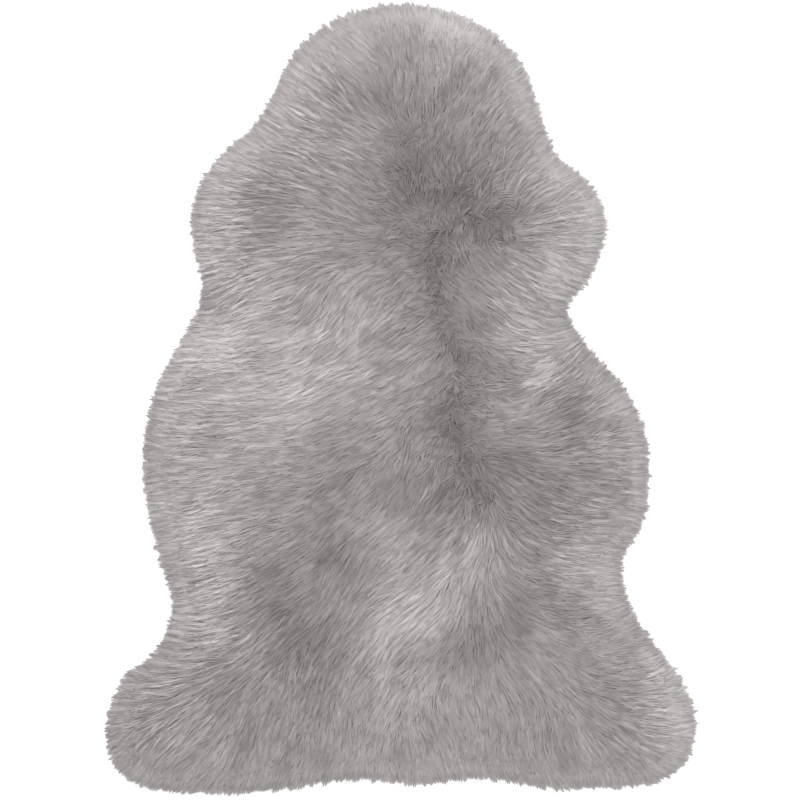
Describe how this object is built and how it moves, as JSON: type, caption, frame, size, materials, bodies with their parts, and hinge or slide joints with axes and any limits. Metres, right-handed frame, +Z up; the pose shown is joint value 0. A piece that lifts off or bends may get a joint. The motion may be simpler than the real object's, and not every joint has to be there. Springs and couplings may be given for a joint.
{
  "type": "sheepskin rug",
  "caption": "Single pelt-shaped sheepskin rug with long grey wool, lying flat: rounded neck, foreleg lobes, waisted flanks and spread hind legs, wool locks hanging over the rim.",
  "frame": {"origin": "middle of the pelt's length and width, on the floor under the skin side", "axes": "+Z up out of the wool, +Y along the back towards the neck, +X to the right seen from above with the neck away from the viewer"},
  "size_m": [0.67, 0.9018, 0.059],
  "materials": {
    "wool": "matte"
  },
  "bodies": {
    "root": {"sheepskin": "wool"}
  },
  "joints": []
}
